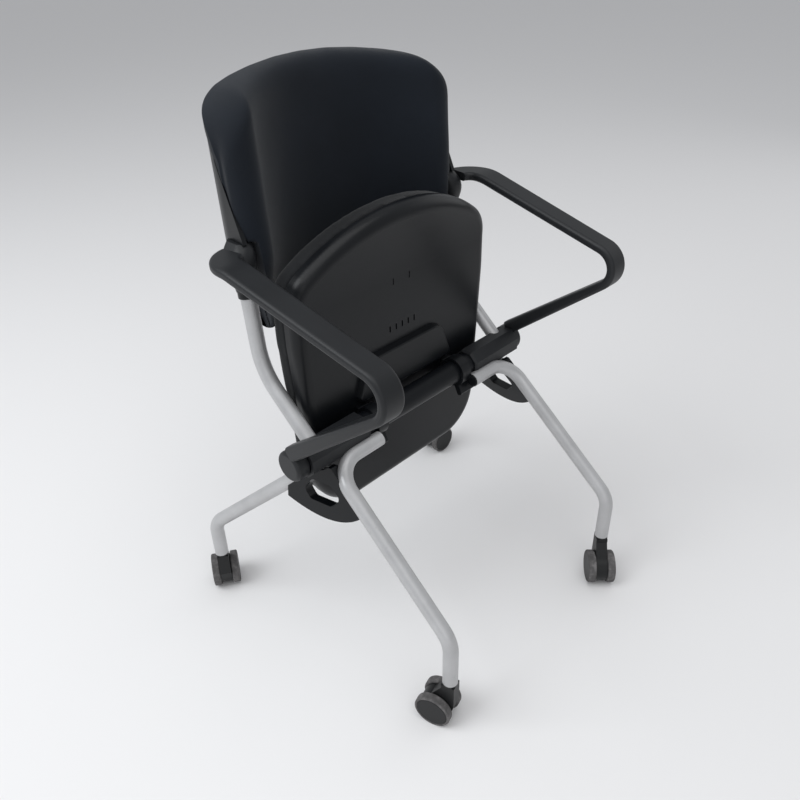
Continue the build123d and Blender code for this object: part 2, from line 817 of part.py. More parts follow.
def seat_slice(low, high, inset):
    """A layer of the seat between two offsets, trimmed to the seat's outline."""
    front_depth = seat_parting_y - seat_shell_depth - 60
    back_depth = seat_parting_y + cushion_thickness + 20
    with BuildPart() as piece:
        add(seat_layer(low, high))
        add(seat_outline(inset, front_depth, back_depth), mode=Mode.INTERSECT)
    return piece.part


def rim_edges(part, towards_y):
    """The edges round the broad side of a seat layer that faces -Y or +Y."""
    broad = part.faces().filter_by(lambda face: face.normal_at().Y * towards_y > 0.85)
    edges = [edge for face in broad for edge in face.edges()]
    return ShapeList(edge for edge in edges if edges.count(edge) == 1)


seat_underside_y = seat_parting_y - seat_shell_depth
cavity_floor_y = seat_underside_y + seat_shell_wall
hinge_outer_radius = bar_radius + hinge_clearance + hinge_wall
hinge_middle_x = (hinge_inner_x + hinge_outer_x) / 2
hinge_screw_z = bar_z - hinge_foot_drop + 9
hinge_screw_spread = 12.0
hinge_screw_xs = [
    side * (hinge_middle_x + offset)
    for side in (1, -1)
    for offset in (-hinge_screw_spread, hinge_screw_spread)
]
hinge_flange_height = 18.0
hinge_flange_thickness = 6.0
boss_radius = 5.5
rib_thickness = 2.5
rib_xs = (-150, -75, 75, 150)
rib_zs = (300, 440, 570, 640)

with BuildPart() as seat_shell:
    add(seat_slice(-seat_shell_depth, 0, 0))
    fillet(rim_edges(seat_shell.part, -1), seat_shell_round)
    cavity = seat_slice(seat_shell_wall - seat_shell_depth, 2, seat_shell_wall)
    cavity = cavity.fillet(seat_shell_round - seat_shell_wall, rim_edges(cavity, -1))
    add(cavity, mode=Mode.SUBTRACT)
    # ribs and screw bosses that carry the seat board
    with BuildPart(mode=Mode.PRIVATE) as web:
        with BuildSketch(Plane.XZ.offset(-seat_underside_y - 1)):
            with Locations(*[(x, (seat_top_z + seat_bottom_z) / 2) for x in rib_xs]):
                Rectangle(rib_thickness, seat_top_z - seat_bottom_z)
            with Locations(*[(0, z) for z in rib_zs]):
                Rectangle(2 * seat_half_width, rib_thickness)
            with Locations(*[(x, hinge_screw_z) for x in hinge_screw_xs]):
                Circle(boss_radius)
        extrude(amount=-seat_shell_depth)
    ribs = seat_slice(seat_shell_wall / 2 - seat_shell_depth, -seat_board_thickness, seat_shell_wall / 2)
    ribs = ribs.fillet(seat_shell_round - seat_shell_wall / 2, rim_edges(ribs, -1))
    add(ribs.intersect(web.part))
    # the row of vent slots and the two shallow marks above it
    with BuildSketch(Plane.XZ.offset(-seat_underside_y + 5)):
        with GridLocations(slot_pitch, 1, slot_count, 1):
            with Locations((0, slot_z)):
                SlotOverall(slot_length, slot_width, rotation=90)
    extrude(amount=-5 - seat_shell_wall - 1, mode=Mode.SUBTRACT)
    with BuildSketch(Plane.XZ.offset(-seat_underside_y + 5)):
        with Locations((-dimple_x, dimple_z), (dimple_x, dimple_z)):
            SlotOverall(slot_length, slot_width, rotation=90)
    extrude(amount=-5 - dimple_depth, mode=Mode.SUBTRACT)
    with BuildSketch(Plane.XZ.offset(-seat_underside_y + 5)):
        with Locations(*[(x, hinge_screw_z) for x in hinge_screw_xs]):
            Circle(screw_radius)
    extrude(amount=-19, mode=Mode.SUBTRACT)
save(seat_shell.part, "seat_shell")

with BuildPart() as seat_board:
    add(seat_slice(layer_gap - seat_board_thickness, 0, seat_shell_wall + layer_gap))
save(seat_board.part, "seat_board")

with BuildPart() as seat_cushion:
    add(seat_slice(layer_gap, cushion_thickness, 1))
    fillet(rim_edges(seat_cushion.part, 1), cushion_round)
save(seat_cushion.part, "seat_cushion")

with BuildPart() as seat_cover:
    with BuildSketch(Plane.XZ.offset(-seat_underside_y + 0.1)) as panel:
        with BuildLine():
            Polyline(
                (-cover_bottom_half_width, cover_bottom_z),
                (-cover_top_half_width, cover_top_z),
                (cover_top_half_width, cover_top_z),
                (cover_bottom_half_width, cover_bottom_z),
                close=True,
            )
        make_face()
        fillet(panel.vertices().group_by(Axis.Y)[-1], cover_corner_radius)
        fillet(panel.vertices().group_by(Axis.Y)[0], 9)
    extrude(amount=cover_height, taper=15)
    fillet(seat_cover.faces().sort_by(Axis.Y)[0].edges(), 3)
save(seat_cover.part, "seat_cover")

# ================================================================ seat hinge
hinge_start = bar_plane.offset(hinge_inner_x)
hinge_seat_gap = seat_underside_y - 0.1 - bar_y
tail_gap = 0.5
tail_turn = degrees(asin((tube_radius + hinge_tail_thickness / 2 + tail_gap) / stub_distance))
tail_angle = stub_angle + tail_turn
tail_middle = bar_radius + 2 + hinge_tail_length / 2
groove_margin = degrees(asin((stop_pin_radius + stop_pin_gap) / bar_radius))
stop_angle = 90.0
groove_start = stop_angle - seat_travel - groove_margin
groove_arc = seat_travel + 2 * groove_margin
groove_depth = stop_pin_height + stop_pin_gap

with BuildPart() as hinge:
    with BuildSketch(hinge_start):
        Circle(hinge_outer_radius)
        with BuildLine():
            Polyline(
                (0, 0),
                (hinge_outer_radius - 5, 17),
                (hinge_seat_gap, 17),
                (hinge_seat_gap, -hinge_foot_drop),
                (hinge_seat_gap - hinge_flange_thickness, -hinge_foot_drop),
                (hinge_seat_gap - hinge_flange_thickness, hinge_flange_height - hinge_foot_drop),
                (hinge_outer_radius - 8, -15),
                close=True,
            )
        make_face()
    extrude(amount=hinge_outer_x - hinge_inner_x)
    with BuildSketch(Plane.XZ.offset(-seat_underside_y + 0.1)):
        with Locations((hinge_middle_x, hinge_screw_z)):
            RectangleRounded(2 * hinge_screw_spread + 2 * hinge_foot_margin, hinge_flange_height, 6)
    extrude(amount=hinge_flange_thickness)
    with BuildSketch(hinge_start):
        with Locations(
            Location(
                (tail_middle * cos(radians(tail_angle)), tail_middle * sin(radians(tail_angle))), tail_angle
            )
        ):
            RectangleRounded(hinge_tail_length, hinge_tail_thickness, 3)
    extrude(amount=hinge_outer_x - hinge_inner_x + hinge_tail_reach)
    with BuildSketch(hinge_start):
        Circle(bar_radius + hinge_clearance)
    extrude(amount=hinge_outer_x - hinge_inner_x, mode=Mode.SUBTRACT)
    with BuildSketch(
        Plane(
            origin=(hinge_middle_x, bar_y, bar_z),
            x_dir=(1, 0, 0),
            z_dir=(0, -sin(radians(groove_start)), cos(radians(groove_start))),
        )
    ):
        with Locations((0, bar_radius + groove_depth / 2)):
            Rectangle(2 * (stop_pin_radius + stop_pin_gap), groove_depth)
    revolve(
        axis=Axis((hinge_middle_x, bar_y, bar_z), (1, 0, 0)),
        revolution_arc=groove_arc,
        mode=Mode.SUBTRACT,
    )
    with BuildSketch(Plane.XZ.offset(-seat_underside_y)):
        with Locations(*[(hinge_middle_x + dx, hinge_screw_z) for dx in (-hinge_screw_spread, hinge_screw_spread)]):
            Circle(screw_radius + cut_clearance / 2)
    extrude(amount=20, mode=Mode.SUBTRACT)
save_pair(hinge.part, "seat_hinge")

hinge_screws = []
for x in hinge_screw_xs:
    head_y = seat_underside_y - 0.1 - hinge_flange_thickness
    head_plane = Plane(origin=(x, head_y, hinge_screw_z), x_dir=(1, 0, 0), z_dir=(0, 1, 0))
    hinge_screws += screw(head_plane, 18).solids()
save(Compound(children=hinge_screws), "seat_hinge_screws")

# ================================================================ casters
wheel_radius = wheel_diameter / 2
stem_radius = stem_diameter / 2
axle_radius = axle_diameter / 2
hood_top = leg_end_height - socket_flange - hood_top_gap
stem_depth = 20.0
hub_radius = wheel_radius - tread_depth
axle_length = hood_width + 2 * wheel_gap + 2 * (wheel_width - 3)


def wheel_pieces(axle_plane, side):
    """The hub disc and the tread of one wheel; side is +1 or -1 along the axle."""
    inner = axle_plane.offset(side * (hood_width / 2 + wheel_gap))
    with BuildPart() as hub:
        with BuildSketch(inner):
            Circle(hub_radius)
        extrude(amount=side * wheel_width)
        outer_face = hub.faces().sort_by(Axis(axle_plane.origin, axle_plane.z_dir * side))[-1]
        fillet(outer_face.edges(), 2)
        with BuildSketch(inner):
            Circle(axle_radius + running_clearance)
        extrude(amount=side * (wheel_width - 2.5), mode=Mode.SUBTRACT)
    with BuildPart() as tread:
        with BuildSketch(inner):
            Circle(wheel_radius)
        extrude(amount=side * wheel_width)
        fillet(tread.faces().filter_by(GeomType.PLANE).edges(), 2.5)
        with BuildSketch(inner):
            Circle(hub_radius)
        extrude(amount=side * wheel_width, mode=Mode.SUBTRACT)
    return hub.part, tread.part


def caster(corner, stem, heading):
    """One twin-wheel caster under a leg, its wheels trailing towards the heading."""
    along = Vector(cos(radians(heading)), sin(radians(heading)), 0)
    across = Vector(-along.Y, along.X, 0)
    axle_centre = Vector(*stem, wheel_radius) + along * caster_trail
    axle_plane = Plane(origin=axle_centre, x_dir=along, z_dir=across * -1)
    stem_plane = Plane(origin=(*stem, hood_top - stem_depth), z_dir=(0, 0, 1))

    with BuildPart() as stem_pin:
        with BuildSketch(stem_plane):
            Circle(stem_radius)
        extrude(amount=stem_depth + hood_top_gap + stem_length)
        fillet(stem_pin.faces().sort_by(Axis.Z)[-1].edges(), 1.5)
    save(stem_pin.part, f"caster_{corner}_stem")

    neck_top = hood_top - wheel_radius
    with BuildPart() as hood:
        with BuildSketch(axle_plane.offset(-hood_width / 2)) as side_view:
            Circle(hood_radius)
            with BuildLine():
                Polyline(
                    (-caster_trail - tube_radius + 1, neck_top),
                    (-caster_trail + tube_radius - 1, neck_top),
                    (-caster_trail + tube_radius - 1, neck_top - 8),
                    (8, 24.5),
                    (0, 0),
                    (-hood_radius + 1, -6),
                    (-caster_trail - tube_radius + 1, 14),
                    close=True,
                )
            make_face()
        extrude(amount=hood_width)
        with BuildSketch(stem_plane):
            Circle(stem_radius)
        extrude(amount=stem_depth, mode=Mode.SUBTRACT)
        with BuildSketch(axle_plane.offset(-hood_width / 2)):
            Circle(axle_radius)
        extrude(amount=hood_width, mode=Mode.SUBTRACT)
    save(hood.part, f"caster_{corner}_hood")

    with BuildPart() as axle:
        with BuildSketch(axle_plane.offset(-axle_length / 2)):
            Circle(axle_radius)
        extrude(amount=axle_length)
    save(axle.part, f"caster_{corner}_axle")

    for side, name in ((1, "a"), (-1, "b")):
        hub, tread = wheel_pieces(axle_plane, side)
        save(hub, f"caster_{corner}_hub_{name}")
        save(tread, f"caster_{corner}_tread_{name}")


stems = {
    "front_left": front_stem,
    "front_right": (-front_stem[0], front_stem[1]),
    "rear_left": rear_stem,
    "rear_right": (-rear_stem[0], rear_stem[1]),
}
sockets = []
for corner, stem in stems.items():
    caster(corner, stem, caster_headings[corner])
    with BuildPart() as socket:
        with BuildSketch(Plane.XY.offset(leg_end_height - socket_flange)):
            with Locations(stem):
                Circle(tube_radius)
        extrude(amount=socket_flange)
        with BuildSketch(Plane.XY.offset(leg_end_height)):
            with Locations(stem):
                Circle(tube_bore - running_clearance)
        extrude(amount=stem_length + 4)
        with BuildSketch(Plane.XY.offset(leg_end_height - socket_flange)):
            with Locations(stem):
                Circle(stem_radius + running_clearance)
        extrude(amount=stem_length + socket_flange + 1, mode=Mode.SUBTRACT)
    sockets += socket.part.solids()
save(Compound(children=sockets), "caster_sockets")
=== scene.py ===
"""Dresses the nesting chair: painted tubes, moulded plastic, foam cushions in cloth and worn casters.

Metres. +Z is up, the chair faces -Y and +X is the sitter's left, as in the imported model.
"""

import math

import bmesh
import bpy
import numpy as np
from mathutils import Matrix, Vector
from mathutils.bvhtree import BVHTree


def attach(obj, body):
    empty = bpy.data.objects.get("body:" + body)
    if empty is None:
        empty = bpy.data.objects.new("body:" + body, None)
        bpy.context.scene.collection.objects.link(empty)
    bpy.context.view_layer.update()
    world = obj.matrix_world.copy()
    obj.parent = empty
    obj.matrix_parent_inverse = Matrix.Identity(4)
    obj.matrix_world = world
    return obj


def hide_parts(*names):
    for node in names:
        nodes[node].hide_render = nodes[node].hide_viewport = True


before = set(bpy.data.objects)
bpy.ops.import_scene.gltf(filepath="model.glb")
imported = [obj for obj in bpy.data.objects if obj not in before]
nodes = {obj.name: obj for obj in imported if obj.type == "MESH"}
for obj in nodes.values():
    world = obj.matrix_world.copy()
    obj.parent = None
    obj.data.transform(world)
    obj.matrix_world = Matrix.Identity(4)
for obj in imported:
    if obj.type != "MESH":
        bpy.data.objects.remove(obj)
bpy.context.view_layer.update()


# ------------------------------------------------------------------ shader maths
class Wire:
    """A socket that takes part in sums: each operator adds one Math node."""

    def __init__(self, paint, socket):
        self.paint, self.socket = paint, socket

    def math(self, operation, *values):
        return self.paint.node("ShaderNodeMath", dict(operation=operation), dict(enumerate(values)))

    def __add__(self, other):
        return self.math("ADD", self, other)

    def __radd__(self, other):
        return self.math("ADD", other, self)

    def __mul__(self, other):
        return self.math("MULTIPLY", self, other)

    def sine(self):
        return self.math("SINE", self)


class Paint:
    """Builds one node material round a Principled shader."""

    def __init__(self, name):
        self.material = bpy.data.materials.new(name)
        self.material.use_nodes = True
        self.tree = self.material.node_tree
        self.shader = self.tree.nodes["Principled BSDF"]
        self.place = self.node("ShaderNodeTexCoord", out="Object")

    def node(self, kind, settings=None, values=None, out=0):
        """A node of one type: its settings first, then its sockets, given numbers or other wires."""
        made = self.tree.nodes.new(kind)
        for key, value in (settings or {}).items():
            if key == "stops":
                set_stops(made.color_ramp, value)
            else:
                setattr(made, key, value)
        for key, value in (values or {}).items():
            self.feed(made.inputs[key], value)
        return Wire(self, made.outputs[out])

    def feed(self, socket, value):
        if isinstance(value, Wire):
            self.tree.links.new(value.socket, socket)
        else:
            socket.default_value = value

    def noise(self, scale, detail=3.0, roughness=0.55, place=None):
        """Soft noise, about 0.5 on average; scale is in features per metre."""
        values = {"Vector": place or self.place, "Scale": scale, "Detail": detail, "Roughness": roughness}
        return self.node("ShaderNodeTexNoise", {}, values)

    def ramp(self, value, *stops):
        """A colour ramp over stops of (position, colour)."""
        return self.node("ShaderNodeValToRGB", {"stops": stops}, {"Fac": value})

    def mix(self, share, first, second):
        """A blend of two colours."""
        return self.node("ShaderNodeMix", dict(data_type="RGBA"), {0: share, 6: first, 7: second}, out=2)

    def stretched(self, scale):
        """Object coordinates scaled by axis, so that a pattern is longer one way."""
        return self.node("ShaderNodeMapping", {}, {"Vector": self.place, "Scale": scale})

    def bump(self, height, strength, distance):
        values = {"Height": height, "Strength": strength, "Distance": distance}
        self.feed(self.shader.inputs["Normal"], self.node("ShaderNodeBump", {}, values))

    def set(self, **values):
        """The Principled shader's sockets, by name with underscores for spaces."""
        for key, value in values.items():
            self.feed(self.shader.inputs[key.replace("_", " ")], value)


def set_stops(ramp, stops):
    """Replaces a colour ramp's two stops by the given ones."""
    for place, _ in stops[2:]:
        ramp.elements.new(place)
    for element, (place, colour) in zip(ramp.elements, stops):
        element.position = place
        element.color = colour


def grey(value, warm=0.0, cool=0.0):
    """A near-grey colour, a little warmer or cooler than neutral."""
    return (value * (1 + warm), value, value * (1 + cool), 1.0)


# ------------------------------------------------------------------ finishes
def silver_paint():
    """Silver-grey powder coat: fine flakes, orange peel, scuffs with darker edges."""
    paint = Paint("silver_paint")
    flake = paint.noise(2600.0, 2.0)
    patch = paint.noise(22.0, 4.0)
    streaks = paint.noise(1.0, 6.0, 0.7, paint.stretched((70.0, 70.0, 40.0)))
    scuff = paint.ramp(streaks, (0.62, grey(0.0)), (0.72, grey(1.0)))
    dark, light = grey(0.42, cool=0.01), grey(0.53, cool=0.01)
    colour = paint.ramp(flake * 0.35 + patch * 0.65, (0.30, dark), (0.70, light))
    worn = paint.mix(scuff * 0.35, colour, grey(0.30, cool=0.01))
    peel = paint.noise(420.0, 2.0)
    paint.set(Base_Color=worn, Metallic=0.45, Roughness=0.36 + patch * 0.10 + scuff * 0.10)
    paint.bump(peel * 0.7 + flake * 0.3, 0.12, 0.0004)
    return paint.material


def black_plastic(name, value, gloss, cool=0.25, grain=1100.0, grain_depth=0.00012, shine=0.35):
    """Moulded plastic: fine leather-like grain, uneven sheen, fine scratches and a little dust."""
    paint = Paint(name)
    fine = paint.noise(grain, 3.0, 0.6)
    spread = {"Vector": paint.place, "Scale": grain * 0.8}
    cells = paint.node("ShaderNodeTexVoronoi", dict(feature="F1"), spread)
    cloud = paint.noise(11.0, 4.0)
    streaks = paint.noise(1.0, 5.0, 0.7, paint.stretched((60.0, 400.0, 90.0)))
    scratch = paint.ramp(streaks, (0.67, grey(0.0)), (0.73, grey(1.0)))
    dust = paint.ramp(paint.noise(130.0, 6.0, 0.75), (0.60, grey(0.0)), (0.80, grey(1.0)))
    dark, light = grey(value * 0.85, -cool * 0.6, cool), grey(value * 1.18, -cool * 0.6, cool)
    base = paint.ramp(cloud, (0.3, dark), (0.7, light))
    worn = grey(value * 3.0 + 0.01, 0.02, 0.0)
    paint.set(Base_Color=paint.mix(scratch * 0.12 + dust * 0.10, base, worn))
    paint.set(Roughness=gloss - 0.06 + cloud * 0.12 + scratch * 0.08 + dust * 0.10)
    paint.set(Specular_IOR_Level=shine)
    paint.bump(fine * 0.6 + cells * 0.4, 0.40, grain_depth)
    return paint.material


def knit_cloth(name, value, cool, pitch=0.0011, sheen=0.12, shine=0.2):
    """Tight upholstery cloth: crossed ribs of thread with a little fuzz, lint and fading."""
    paint = Paint(name)
    split = paint.node("ShaderNodeSeparateXYZ", {}, {"Vector": paint.place}).socket.node.outputs
    across, depth, up = (Wire(paint, socket) for socket in split)
    turns = 2 * math.pi / pitch
    wobble = paint.noise(160.0, 2.0) * 1.6
    warp = (across * turns + wobble).sine()
    weft = ((up + depth * 0.8) * turns + wobble).sine()
    weave = warp * weft * 0.5 + 0.5
    fade = paint.noise(9.0, 4.0)
    fuzz = paint.noise(900.0, 3.0, 0.7)
    lint = paint.ramp(paint.noise(420.0, 2.0, 0.5), (0.74, grey(0.0)), (0.78, grey(1.0)))
    level = weave * 0.45 + fade * 0.35 + fuzz * 0.2
    dark, light = grey(value * 0.60, -cool * 0.55, cool), grey(value * 1.50, -cool * 0.55, cool)
    thread = paint.ramp(level, (0.25, dark), (0.75, light))
    paint.set(Base_Color=paint.mix(lint * 0.25, thread, grey(0.10)))
    paint.set(Roughness=0.78 + fuzz * 0.18)
    paint.set(Sheen_Weight=sheen, Sheen_Roughness=0.45, Specular_IOR_Level=shine)
    paint.bump(weave * 0.7 + fuzz * 0.3, 0.5, 0.00035)
    return paint.material


def zinc_steel():
    """Zinc-plated steel with fine turning marks."""
    paint = Paint("zinc_steel")
    marks = paint.noise(1.0, 2.0, 0.5, paint.stretched((300.0, 300.0, 2600.0)))
    stain = paint.noise(80.0, 4.0)
    colour = paint.ramp(marks, (0.3, grey(0.36)), (0.7, grey(0.50, warm=0.02)))
    paint.set(Base_Color=paint.mix(stain * 0.3, colour, (0.30, 0.28, 0.24, 1)))
    paint.set(Metallic=0.9, Roughness=0.28 + marks * 0.15 + stain * 0.1)
    paint.bump(marks, 0.15, 0.0002)
    return paint.material


def worn_tread():
    """Soft grey tread, paler and dusty where it has rolled."""
    paint = Paint("worn_tread")
    dust = paint.noise(90.0, 5.0, 0.65)
    grit = paint.noise(900.0, 3.0, 0.7)
    level = dust * 0.7 + grit * 0.3
    stops = (0.30, grey(0.045, 0.03)), (0.52, grey(0.10, 0.04)), (0.72, grey(0.22, 0.05))
    paint.set(Base_Color=paint.ramp(level, *stops))
    paint.set(Roughness=0.72 + grit * 0.2, Specular_IOR_Level=0.3)
    paint.bump(level, 0.5, 0.0005)
    return paint.material


def seam_shade_plywood():
    """Thin plywood with faint grain along X, coloured near black as painted shade: its edge, seen in the
    gap between the cushion and the seat shell, reads as the seam's shadow.
    """
    paint = Paint("seam_shade_plywood")
    grain = paint.noise(1.0, 4.0, 0.6, paint.stretched((8.0, 120.0, 160.0)))
    # Painted shade: near-black colours, so that the board's edge in the seam gap reads as shadow.
    dark, light = (0.008, 0.007, 0.006, 1), (0.016, 0.014, 0.012, 1)
    paint.set(Base_Color=paint.ramp(grain, (0.3, dark), (0.7, light)))
    paint.set(Roughness=0.65 + grain * 0.1)
    paint.bump(grain, 0.2, 0.0003)
    return paint.material


FINISHES = {
    "tube": silver_paint(),
    "bar": black_plastic("bar_paint", 0.005, 0.38, 0.30, 700.0, 0.00008, 0.22),
    "arm": black_plastic("arm_plastic", 0.014, 0.44, 0.12, shine=0.30),
    # Painted shade: the shells' black base is darkened further, to 0.0045, so the underside of the seat
    # renders as dark as its shade.
    "moulding": black_plastic("shell_plastic_painted_shade", 0.0045, 0.34, 0.28, shine=0.28),
    "hood": black_plastic("hood_plastic", 0.009, 0.42, 0.06, shine=0.28),
    "seat_cloth": knit_cloth("seat_cloth", 0.0075, 0.15),
    "back_cloth": knit_cloth("back_cloth", 0.0095, 0.50),
    "steel": zinc_steel(),
    "tread": worn_tread(),
    "board": seam_shade_plywood(),
}


def finish_for(name):
    """The finish of a CAD node, by the piece it is."""
    if name == "crossbar":
        return "bar"
    if name.startswith(("front_leg", "rear_leg", "upright_left", "upright_right")):
        return "tube"
    if "screws" in name or name.endswith(("pins", "_stem", "_axle")):
        return "steel"
    if "tread" in name:
        return "tread"
    if name.startswith("arm_") or name.startswith("crossbar_sleeve"):
        return "arm"
    if "caster" in name:
        return "hood"
    inside = {"seat_board": "board", "seat_cushion": "seat_cloth", "back_pad": "back_cloth"}
    return inside.get(name, "moulding")


for name, node in nodes.items():
    node.data.materials.clear()
    node.data.materials.append(FINISHES[finish_for(name)])


# ------------------------------------------------------------------ upholstery
WELD = 1e-5  # how close two points are to be one
CLOTH_FRAMES = 20
PIN_LEAST = 0.02  # a smaller pinning share is none
HELD_CALM = 0.85  # the share of the smoothing that a held point is spared
FIRST_ROUNDS = 6


def merged_copy(node_name):
    """A node's shape as one welded, closed mesh."""
    shape = bmesh.new()
    shape.from_mesh(nodes[node_name].data)
    bmesh.ops.remove_doubles(shape, verts=shape.verts, dist=WELD)
    bmesh.ops.recalc_face_normals(shape, faces=shape.faces)
    mesh = bpy.data.meshes.new(node_name + "_form")
    shape.to_mesh(mesh)
    shape.free()
    return mesh


def settled(obj):
    """The object's mesh with its modifiers applied."""
    graph = bpy.context.evaluated_depsgraph_get()
    return bpy.data.meshes.new_from_object(obj.evaluated_get(graph), depsgraph=graph).copy()


def spots(mesh):
    """All vertex places of a mesh, as rows."""
    flat = np.empty(len(mesh.vertices) * 3)
    mesh.vertices.foreach_get("co", flat)
    return flat.reshape(-1, 3)


def normals_of(mesh):
    """All vertex normals of a mesh, as rows."""
    flat = np.empty(len(mesh.vertices) * 3)
    mesh.vertex_normals.foreach_get("vector", flat)
    return flat.reshape(-1, 3)


def relaxed(mesh, places, rounds, free):
    """Smoothing that keeps the size: each free point moves half way to the mean of its neighbours,
    then 0.52 of the way back from the new mean, some rounds over."""
    pairs = np.empty(len(mesh.edges) * 2, dtype=np.int64)
    mesh.edges.foreach_get("vertices", pairs)
    first, second = pairs.reshape(-1, 2).T
    count = np.bincount(np.concatenate((first, second)), minlength=len(places))[:, None]
    for _ in range(rounds):
        for share in (0.5, -0.52):
            total = np.zeros_like(places)
            np.add.at(total, first, places[second])
            np.add.at(total, second, places[first])
            places = places + (total / count - places) * (share * free)[:, None]
    return places


def upholstered(
    name, node_name, body, held, inset, rise, voxel=0.005, pressure=4.0, rounds=8
):
    """Foam under cloth, made from a node's shape.

    The shape is remeshed in small voxels and drawn in by the inset where it is free, and cloth over
    it is blown up for twenty frames. A point that moved inwards along its normal is put back, and the
    rest of its move is r * tanh(d / r), where d is the distance that it moved and r the rise. The
    result is relaxed and smoothed. held(places) is 1 where the cloth is fastened down and 0 where it
    is free.
    """
    body_object = bpy.data.objects.new(name, merged_copy(node_name))
    bpy.context.scene.collection.objects.link(body_object)
    voxels = body_object.modifiers.new("voxels", "REMESH")
    voxels.mode, voxels.voxel_size = "VOXEL", voxel
    mesh = settled(body_object)
    body_object.modifiers.clear()
    body_object.data = mesh
    fixed = held(spots(mesh))
    free = 1 - HELD_CALM * fixed
    start = relaxed(mesh, spots(mesh), FIRST_ROUNDS, free)
    start = start - normals_of(mesh) * (inset * (1 - fixed))[:, None]
    mesh.vertices.foreach_set("co", start.ravel())
    mesh.update()
    pins = body_object.vertex_groups.new(name="fastened")
    for index in np.nonzero(fixed > PIN_LEAST)[0]:
        pins.add([int(index)], float(fixed[index]), "REPLACE")
    cloth = body_object.modifiers.new("cloth", "CLOTH")
    cloth.settings.quality = 4
    cloth.settings.use_pressure = True
    cloth.settings.uniform_pressure_force = pressure
    cloth.settings.effector_weights.gravity = 0
    cloth.settings.vertex_group_mass = pins.name
    cloth.collision_settings.use_collision = False
    for number in range(1, CLOTH_FRAMES + 1):
        bpy.context.scene.frame_set(number)
    blown = spots(settled(body_object))
    bpy.context.scene.frame_set(1)
    body_object.modifiers.clear()
    body_object.vertex_groups.clear()
    out = normals_of(mesh)
    move = blown - start
    move = move - out * np.minimum((move * out).sum(axis=1), 0)[:, None]
    length = np.linalg.norm(move, axis=1) + 1e-9
    places = start + move * (rise * np.tanh(length / rise) / length)[:, None]
    places = relaxed(mesh, places, rounds, free)
    mesh.vertices.foreach_set("co", places.ravel())
    mesh.polygons.foreach_set("use_smooth", np.ones(len(mesh.polygons), dtype=bool))
    mesh.update()
    smooth = body_object.modifiers.new("smooth", "SUBSURF")
    smooth.levels = smooth.render_levels = 1
    mesh.materials.clear()
    mesh.materials.append(FINISHES[finish_for(node_name)])
    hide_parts(node_name)
    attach(body_object, body)


def ease(value):
    """0 below 0, 1 above 1, and 3v^2 - 2v^3 between."""
    value = np.clip(value, 0, 1)
    return value * value * (3 - 2 * value)


SEAT_SHELL = merged_copy("seat_shell")
SHELL_TREE = BVHTree.FromPolygons(
    [spot.co for spot in SEAT_SHELL.vertices], [face.vertices for face in SEAT_SHELL.polygons]
)
bpy.data.meshes.remove(SEAT_SHELL)
HELD_WITHIN, HELD_FADE = 0.004, 0.008  # distances from the seat shell


def held_to_seat(places):
    """The cushion is fastened all round its foot, within 4 mm of the shell, and free from 12 mm on."""
    away = np.array([SHELL_TREE.find_nearest(place)[3] for place in places])
    return 1 - ease((away - HELD_WITHIN) / HELD_FADE)


upholstered(
    "cushion_cloth", "seat_cushion", "seat", held_to_seat, inset=0.0005, rise=0.0050
)


# ------------------------------------------------------------------ back pad
BACK_FOOT = np.array((0.0, 0.227, 0.508))
BACK_LEAN = math.radians(3.0)
BACK_RADIUS, WING_RADIUS = 0.700, 0.055
FLAT_ANGLE, WING_ANGLE = math.asin(0.180 / 0.700), math.radians(85.0)
WING_START = BACK_RADIUS * FLAT_ANGLE  # run along the outer surface, from the middle
WING_STOP = WING_START + WING_RADIUS * (WING_ANGLE - FLAT_ANGLE)
WING_CENTRE = (BACK_RADIUS - WING_RADIUS) * np.array((math.sin(FLAT_ANGLE), math.cos(FLAT_ANGLE)))
WING_CENTRE[1] -= BACK_RADIUS
SHELL_INNER, PAD_CENTRE = 0.0075, 0.0315
NOSE_START, NOSE_REACH, NOSE_RADIUS = 0.1745, 0.0725, 0.027
NOSE_SHARE, NOSE_POWER = 0.62, 2.4  # where the nose starts, of the half width; the hollow's power
PAD_RUN, PAD_HEIGHT = 0.2536, 0.215  # the pad's half width along its run; its middle's height
PAD_OUTLINE = [  # one half, from the top down: run, height up the back
    (0.0, 0.3942), (0.05, 0.3926), (0.10, 0.3874), (0.141, 0.3808), (0.172, 0.3732), (0.193, 0.3625),
    (0.206, 0.3545), (0.221, 0.3440), (0.236, 0.3310), (0.247, 0.3130), (PAD_RUN, 0.2900),
    (PAD_RUN, 0.1200), (0.205, 0.0100), (0.0, 0.0040),
]
OUTLINE_STEP, OUTLINE_ROUNDING = 0.001, 0.024
PAD_AROUND, PAD_ROWS = 400, 97
ROLL_RUN = 0.045  # how far the front's edge rolls
ROLL_STRETCH = (4, 1)  # the roll is that much tighter across than up
SHELL_EDGE_Z = (0.622, 0.780, 0.820, 0.920)  # the shell's slanted side edge, by height
SHELL_EDGE_Y = (0.099, 0.167, 0.181, 0.196)
WALL_Z, WALL_X = (0.512, 0.652, 0.695), (0.152, 0.197, 0.2015)  # the side wall, by height
LAP, LAP_DROP, LIP = 0.0008, 0.0020, 0.0012  # cloth before, over and outside the shell's rim


